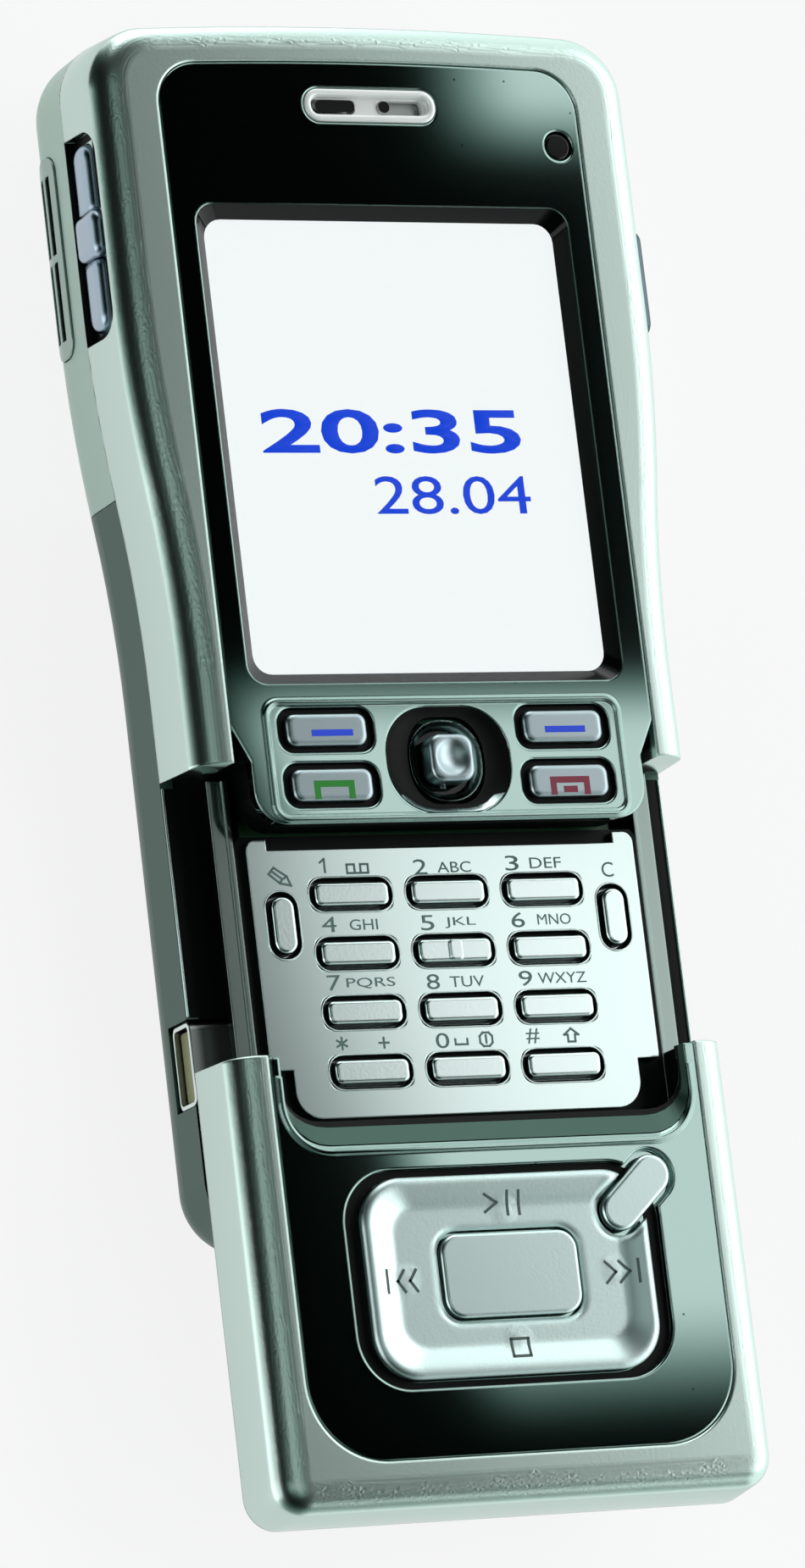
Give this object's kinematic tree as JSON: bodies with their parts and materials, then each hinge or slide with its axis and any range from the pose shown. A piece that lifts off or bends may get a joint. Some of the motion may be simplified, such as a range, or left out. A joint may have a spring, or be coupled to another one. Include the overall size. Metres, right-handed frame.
{
  "type": "slider phone",
  "caption": "Slide-open handset in steel frames: display over a joystick cluster, a sprung-key number pad, and a slider carrying music controls.",
  "frame": {"origin": "back face, on the centre line, level with the parting line where the two steel frames meet when the phone is closed", "axes": "+X to the right of the screen, +Y towards the earpiece, +Z out of the screen; shown slid open"},
  "size_m": [0.0558, 0.1387, 0.0183],
  "materials": {
    "frame_steel": "bead-blasted satin stainless steel",
    "panel_black": "polished dark steel with a faint grain",
    "gloss_black": "gloss black",
    "cover_pale": "pale matte grey-green",
    "housing_metal": "satin grey-green aluminium",
    "chassis_black": "matte black",
    "keypad_silver": "satin silver",
    "key_silver": "satin silver paint",
    "function_silver": "pale satin metal",
    "side_key_silver": "satin bluish silver",
    "music_key_metal": "satin silver",
    "chrome_trim": "polished chrome",
    "window_clear": "clear and polished",
    "display_white": "backlit white",
    "board_green": "solder-resist green",
    "rail_black": "blackened steel",
    "plain_steel": "plain steel",
    "drive_aluminium": "plain aluminium",
    "battery_wrap": "matte film wrap",
    "antenna_brass": "plated sheet",
    "keymat_rubber": "soft rubber"
  },
  "bodies": {
    "body": {"rear_housing": "housing_metal", "rear_cover": "cover_pale", "chassis": "chassis_black", "front_frame": "frame_steel", "front_panel": "panel_black", "display_window": "window_clear", "display_module": "display_white", "earpiece_grille": "chrome_trim", "earpiece_speaker": "plain_steel", "light_sensor": "gloss_black", "keypad_plate": "keypad_silver", "keypad_surround": "chassis_black", "circuit_boards": "board_green", "case_screws": "plain_steel", "slide_rails": "rail_black", "battery": "battery_wrap", "hard_drive": "drive_aluminium", "camera_module": "chassis_black", "camera_window": "window_clear", "loudspeaker": "chassis_black", "loudspeaker_grille": "chrome_trim", "usb_connector": "plain_steel", "headphone_jack": "chassis_black", "vibration_motor": "plain_steel", "antenna": "antenna_brass"},
    "slider": {"slide_frame": "frame_steel", "slide_panel": "panel_black", "slide_carriage": "plain_steel", "slide_runners": "chassis_black", "music_board": "board_green"},
    "softkey_left": {"softkey_left": "function_silver"},
    "softkey_right": {"softkey_right": "function_silver"},
    "send_key": {"send_key": "function_silver"},
    "end_key": {"end_key": "function_silver"},
    "key_1": {"key_1": "key_silver"},
    "key_2": {"key_2": "key_silver"},
    "key_3": {"key_3": "key_silver"},
    "key_4": {"key_4": "key_silver"},
    "key_5": {"key_5": "key_silver"},
    "key_6": {"key_6": "key_silver"},
    "key_7": {"key_7": "key_silver"},
    "key_8": {"key_8": "key_silver"},
    "key_9": {"key_9": "key_silver"},
    "key_star": {"key_star": "key_silver"},
    "key_0": {"key_0": "key_silver"},
    "key_hash": {"key_hash": "key_silver"},
    "edit_key": {"edit_key": "key_silver"},
    "clear_key": {"clear_key": "key_silver"},
    "joystick_ring": {"joystick_ring": "gloss_black"},
    "joystick_cap": {"joystick_cap": "function_silver"},
    "volume_up_key": {"volume_up_key": "side_key_silver"},
    "voice_key": {"voice_key": "side_key_silver"},
    "volume_down_key": {"volume_down_key": "side_key_silver"},
    "camera_key": {"camera_key": "side_key_silver"},
    "power_key": {"power_key": "side_key_silver"},
    "hold_switch": {"hold_switch": "side_key_silver"},
    "music_keymat": {"music_keymat": "keymat_rubber"},
    "music_pad": {"music_pad": "music_key_metal"},
    "music_play_key": {"music_play_key": "music_key_metal"},
    "shortcut_key": {"shortcut_key": "music_key_metal"}
  },
  "joints": [
    {"name": "slider_slide", "type": "slide", "parent": "body", "child": "slider", "axis": [0, 1, 0], "range_m": [0, 0.0265]},
    {"name": "softkey_left_press", "type": "slide", "parent": "body", "child": "softkey_left", "axis": [0, 0, -1], "range_m": [0, 0.0003], "stiffness_N_per_m": 3000},
    {"name": "softkey_right_press", "type": "slide", "parent": "body", "child": "softkey_right", "axis": [0, 0, -1], "range_m": [0, 0.0003], "stiffness_N_per_m": 3000},
    {"name": "send_key_press", "type": "slide", "parent": "body", "child": "send_key", "axis": [0, 0, -1], "range_m": [0, 0.0003], "stiffness_N_per_m": 3000},
    {"name": "end_key_press", "type": "slide", "parent": "body", "child": "end_key", "axis": [0, 0, -1], "range_m": [0, 0.0003], "stiffness_N_per_m": 3000},
    {"name": "key_1_press", "type": "slide", "parent": "body", "child": "key_1", "axis": [0, 0, -1], "range_m": [0, 0.0003], "stiffness_N_per_m": 3000},
    {"name": "key_2_press", "type": "slide", "parent": "body", "child": "key_2", "axis": [0, 0, -1], "range_m": [0, 0.0003], "stiffness_N_per_m": 3000},
    {"name": "key_3_press", "type": "slide", "parent": "body", "child": "key_3", "axis": [0, 0, -1], "range_m": [0, 0.0003], "stiffness_N_per_m": 3000},
    {"name": "key_4_press", "type": "slide", "parent": "body", "child": "key_4", "axis": [0, 0, -1], "range_m": [0, 0.0003], "stiffness_N_per_m": 3000},
    {"name": "key_5_press", "type": "slide", "parent": "body", "child": "key_5", "axis": [0, 0, -1], "range_m": [0, 0.0003], "stiffness_N_per_m": 3000},
    {"name": "key_6_press", "type": "slide", "parent": "body", "child": "key_6", "axis": [0, 0, -1], "range_m": [0, 0.0003], "stiffness_N_per_m": 3000},
    {"name": "key_7_press", "type": "slide", "parent": "body", "child": "key_7", "axis": [0, 0, -1], "range_m": [0, 0.0003], "stiffness_N_per_m": 3000},
    {"name": "key_8_press", "type": "slide", "parent": "body", "child": "key_8", "axis": [0, 0, -1], "range_m": [0, 0.0003], "stiffness_N_per_m": 3000},
    {"name": "key_9_press", "type": "slide", "parent": "body", "child": "key_9", "axis": [0, 0, -1], "range_m": [0, 0.0003], "stiffness_N_per_m": 3000},
    {"name": "key_star_press", "type": "slide", "parent": "body", "child": "key_star", "axis": [0, 0, -1], "range_m": [0, 0.0003], "stiffness_N_per_m": 3000},
    {"name": "key_0_press", "type": "slide", "parent": "body", "child": "key_0", "axis": [0, 0, -1], "range_m": [0, 0.0003], "stiffness_N_per_m": 3000},
    {"name": "key_hash_press", "type": "slide", "parent": "body", "child": "key_hash", "axis": [0, 0, -1], "range_m": [0, 0.0003], "stiffness_N_per_m": 3000},
    {"name": "edit_key_press", "type": "slide", "parent": "body", "child": "edit_key", "axis": [0, 0, -1], "range_m": [0, 0.0003], "stiffness_N_per_m": 3000},
    {"name": "clear_key_press", "type": "slide", "parent": "body", "child": "clear_key", "axis": [0, 0, -1], "range_m": [0, 0.0003], "stiffness_N_per_m": 3000},
    {"name": "volume_up_key_press", "type": "slide", "parent": "body", "child": "volume_up_key", "axis": [1, 0, 0], "range_m": [0, 0.0003], "stiffness_N_per_m": 3000},
    {"name": "voice_key_press", "type": "slide", "parent": "body", "child": "voice_key", "axis": [1, 0, 0], "range_m": [0, 0.0003], "stiffness_N_per_m": 3000},
    {"name": "volume_down_key_press", "type": "slide", "parent": "body", "child": "volume_down_key", "axis": [1, 0, 0], "range_m": [0, 0.0003], "stiffness_N_per_m": 3000},
    {"name": "camera_key_press", "type": "slide", "parent": "body", "child": "camera_key", "axis": [-1, 0, 0], "range_m": [0, 0.0003], "stiffness_N_per_m": 3000},
    {"name": "power_key_press", "type": "slide", "parent": "body", "child": "power_key", "axis": [0, -1, 0], "range_m": [0, 0.0003], "stiffness_N_per_m": 3000},
    {"name": "hold_switch_slide", "type": "slide", "parent": "body", "child": "hold_switch", "axis": [1, 0, 0], "range_m": [0, 0.003]},
    {"name": "music_play_key_press", "type": "slide", "parent": "slider", "child": "music_play_key", "axis": [0, 0, -1], "range_m": [0, 0.0003], "stiffness_N_per_m": 3000},
    {"name": "shortcut_key_press", "type": "slide", "parent": "slider", "child": "shortcut_key", "axis": [0, 0, -1], "range_m": [0, 0.0003], "stiffness_N_per_m": 3000},
    {"name": "joystick_tilt_x", "type": "hinge", "parent": "body", "child": "joystick_ring", "pos_m": [0, 0, 0.0154], "axis": [1, 0, 0], "range_deg": [-8, 8], "stiffness_Nm_per_rad": 0.02},
    {"name": "joystick_tilt_y", "type": "hinge", "parent": "joystick_ring", "child": "joystick_cap", "pos_m": [0, 0, 0.0154], "axis": [0, 1, 0], "range_deg": [-8, 8], "stiffness_Nm_per_rad": 0.02},
    {"name": "music_pad_tilt_x", "type": "hinge", "parent": "slider", "child": "music_keymat", "pos_m": [0, -0.04725, 0.0157], "axis": [1, 0, 0], "range_deg": [-0.8, 0.8], "stiffness_Nm_per_rad": 1.2},
    {"name": "music_pad_tilt_y", "type": "hinge", "parent": "music_keymat", "child": "music_pad", "pos_m": [0, -0.04725, 0.0157], "axis": [0, 1, 0], "range_deg": [-0.8, 0.8], "stiffness_Nm_per_rad": 1.2}
  ]
}
